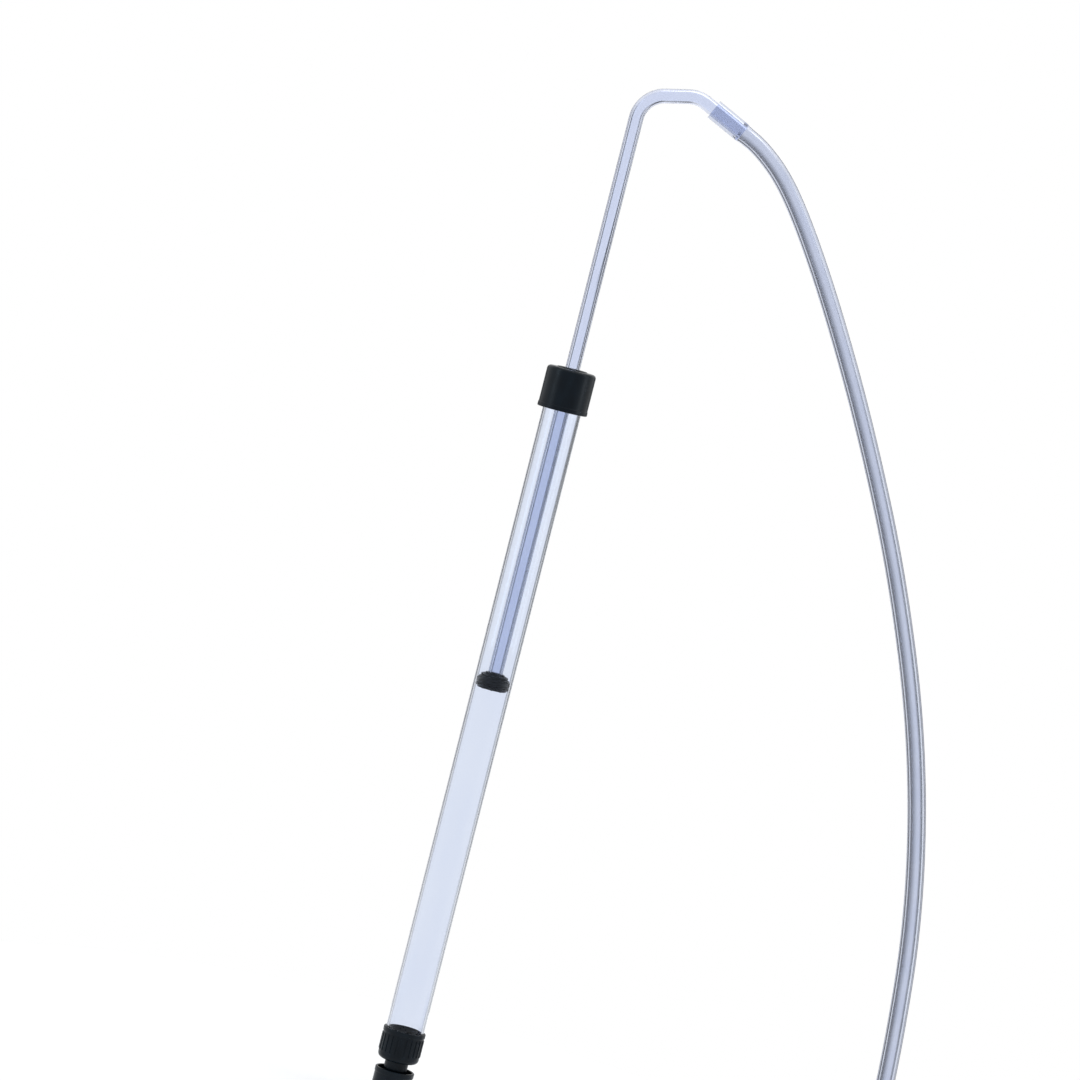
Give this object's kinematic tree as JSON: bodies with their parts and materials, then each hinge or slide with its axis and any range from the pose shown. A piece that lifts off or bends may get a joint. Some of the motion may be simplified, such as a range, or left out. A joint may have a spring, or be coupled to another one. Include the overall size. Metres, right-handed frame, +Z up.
{
  "type": "auto siphon",
  "caption": "Hand pump siphon: clear outer tube with a foot valve and black cap, a clear cane with a rubber piston sliding in it, and a soft outlet hose.",
  "frame": {"origin": "centre of the sediment tip's flat closed foot", "axes": "+Z up along the outer tube's axis towards the cane's bends; +X the way the outlet and hose leave; +Y completes a right-handed set"},
  "size_m": [0.3325, 0.1532, 0.686],
  "materials": {
    "clear_acrylic": "clear, polished",
    "cane_acrylic": "clear with a faint blue tint, polished",
    "black_plastic": "satin moulded",
    "piston_plastic": "satin turned",
    "black_rubber": "matte",
    "ball_glass": "polished",
    "vinyl_hose": "soft, translucent, slightly cloudy",
    "tie_strap": "flat strap"
  },
  "bodies": {
    "barrel": {"outer_tube": "clear_acrylic", "valve_housing": "black_plastic", "valve_seat": "black_rubber", "ball_cage": "black_plastic"},
    "cap": {"top_cap": "black_plastic"},
    "tip": {"sediment_tip": "black_plastic"},
    "ball": {"valve_ball": "ball_glass"},
    "laid_hose": {"hose_coil": "vinyl_hose", "coil_tie": "tie_strap"},
    "cane": {"racking_cane": "cane_acrylic", "piston_head": "piston_plastic", "piston_seal": "black_rubber", "seal_washer": "piston_plastic", "hose_drop": "vinyl_hose"}
  },
  "joints": [
    {"name": "cap_pull", "type": "slide", "parent": "barrel", "child": "cap", "axis": [0, 0, 1], "range_m": [0, 0.03]},
    {"name": "tip_twist", "type": "hinge", "parent": "barrel", "child": "tip", "pos_m": [0, 0, 0.01], "axis": [0, 0, 1], "continuous": true},
    {"name": "valve_lift", "type": "slide", "parent": "barrel", "child": "ball", "axis": [0, 0, 1], "range_m": [0, 0.0046]},
    {"name": "cane_swivel", "type": "hinge", "parent": "barrel", "child": "laid_hose", "pos_m": [0, 0, 0.3], "axis": [0, 0, 1], "continuous": true},
    {"name": "cane_stroke", "type": "slide", "parent": "laid_hose", "child": "cane", "axis": [0, 0, 1], "range_m": [-0.168, 0.19], "deforming": ["hose_drop"]}
  ]
}
